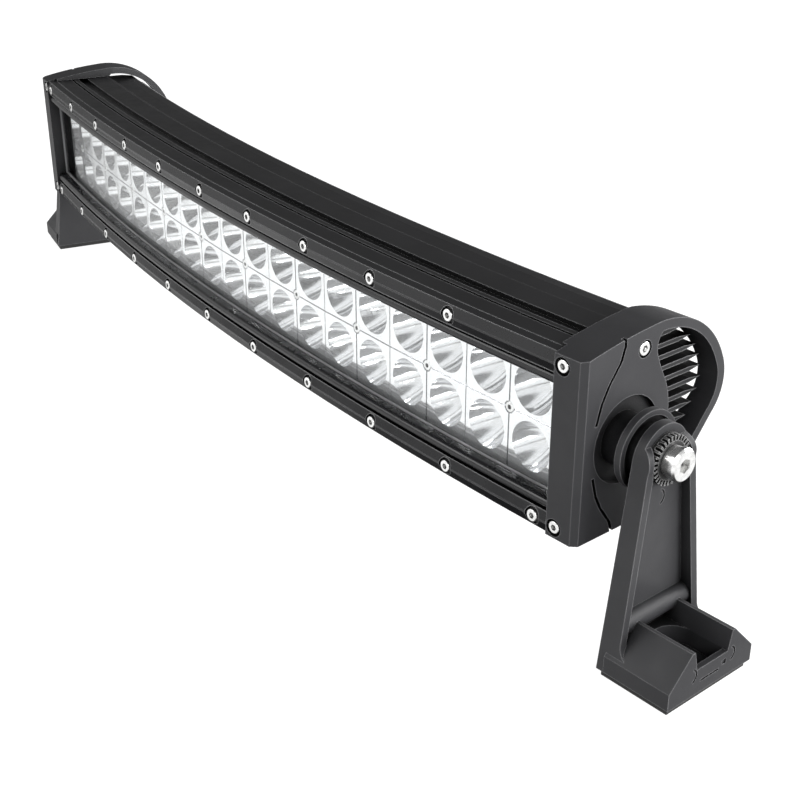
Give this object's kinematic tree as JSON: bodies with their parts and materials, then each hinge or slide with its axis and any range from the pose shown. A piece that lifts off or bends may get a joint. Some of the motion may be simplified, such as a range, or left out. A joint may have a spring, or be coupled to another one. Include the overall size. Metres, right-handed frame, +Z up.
{
  "type": "led light bar",
  "caption": "Curved double-row light bar with finned housing, clear front lens and two swinging end brackets with bolt-down feet.",
  "frame": {"origin": "midway between the two foot bolt holes, on the plane that the foot pads stand on", "axes": "+X along the bar, +Z up, the lamps face -Y"},
  "size_m": [0.6634, 0.1019, 0.1332],
  "materials": {
    "extrusion": "satin black anodised aluminium",
    "rail": "satin black anodised aluminium",
    "cap_casting": "satin black powder coat on die-cast aluminium",
    "bracket_casting": "satin black powder coat on die-cast aluminium",
    "lens": "clear polycarbonate",
    "reflector": "vacuum aluminised plastic, mirror bright",
    "bright_fastener": "stainless steel",
    "steel_insert": "plain steel",
    "rubber_parts": "black rubber",
    "lens_seal": "grey silicone",
    "ring_plastic": "black nylon",
    "thermal_pad": "grey silicone sheet",
    "led_board": "white solder mask on aluminium board",
    "emitter": "yellow phosphor under a clear dome",
    "driver_board": "green circuit board",
    "driver_parts": "black moulded parts",
    "gland_plastic": "black nylon"
  },
  "bodies": {
    "light_bar": {"housing": "extrusion", "top_rail": "rail", "bottom_rail": "rail", "rail_screws": "bright_fastener", "lens": "lens", "lens_gasket": "lens_seal", "reflector_01": "reflector", "reflector_02": "reflector", "reflector_03": "reflector", "reflector_04": "reflector", "reflector_05": "reflector", "reflector_06": "reflector", "reflector_07": "reflector", "reflector_08": "reflector", "reflector_09": "reflector", "reflector_10": "reflector", "reflector_screws": "bright_fastener", "led_boards": "led_board", "led_emitters": "emitter", "thermal_pads": "thermal_pad", "driver_board": "driver_board", "driver_parts": "driver_parts", "driver_posts": "driver_parts", "cable_gland": "gland_plastic", "gland_nut": "gland_plastic", "gland_seal": "rubber_parts", "breather_vent": "gland_plastic", "right_end_cap": "cap_casting", "left_end_cap": "cap_casting", "right_cap_gasket": "rubber_parts", "left_cap_gasket": "rubber_parts", "cap_front_screws": "bright_fastener", "cap_side_screws": "bright_fastener", "right_pivot_insert": "steel_insert", "left_pivot_insert": "steel_insert", "right_pivot_bolt": "bright_fastener", "left_pivot_bolt": "bright_fastener", "right_pivot_washer": "bright_fastener", "left_pivot_washer": "bright_fastener"},
    "right_bracket_arm": {"right_bracket": "bracket_casting", "right_foot_pad": "rubber_parts", "right_serrated_ring": "ring_plastic"},
    "left_bracket_arm": {"left_bracket": "bracket_casting", "left_foot_pad": "rubber_parts", "left_serrated_ring": "ring_plastic"}
  },
  "joints": [
    {"name": "right_pivot", "type": "hinge", "parent": "light_bar", "child": "right_bracket_arm", "pos_m": [0.27888, -0.00411, 0.089], "axis": [0.9917, 0.1283, 0], "range_deg": [-90, 90]},
    {"name": "left_pivot", "type": "hinge", "parent": "light_bar", "child": "left_bracket_arm", "pos_m": [-0.27888, -0.00411, 0.089], "axis": [0.9917, -0.1283, 0], "range_deg": [-90, 90]}
  ]
}
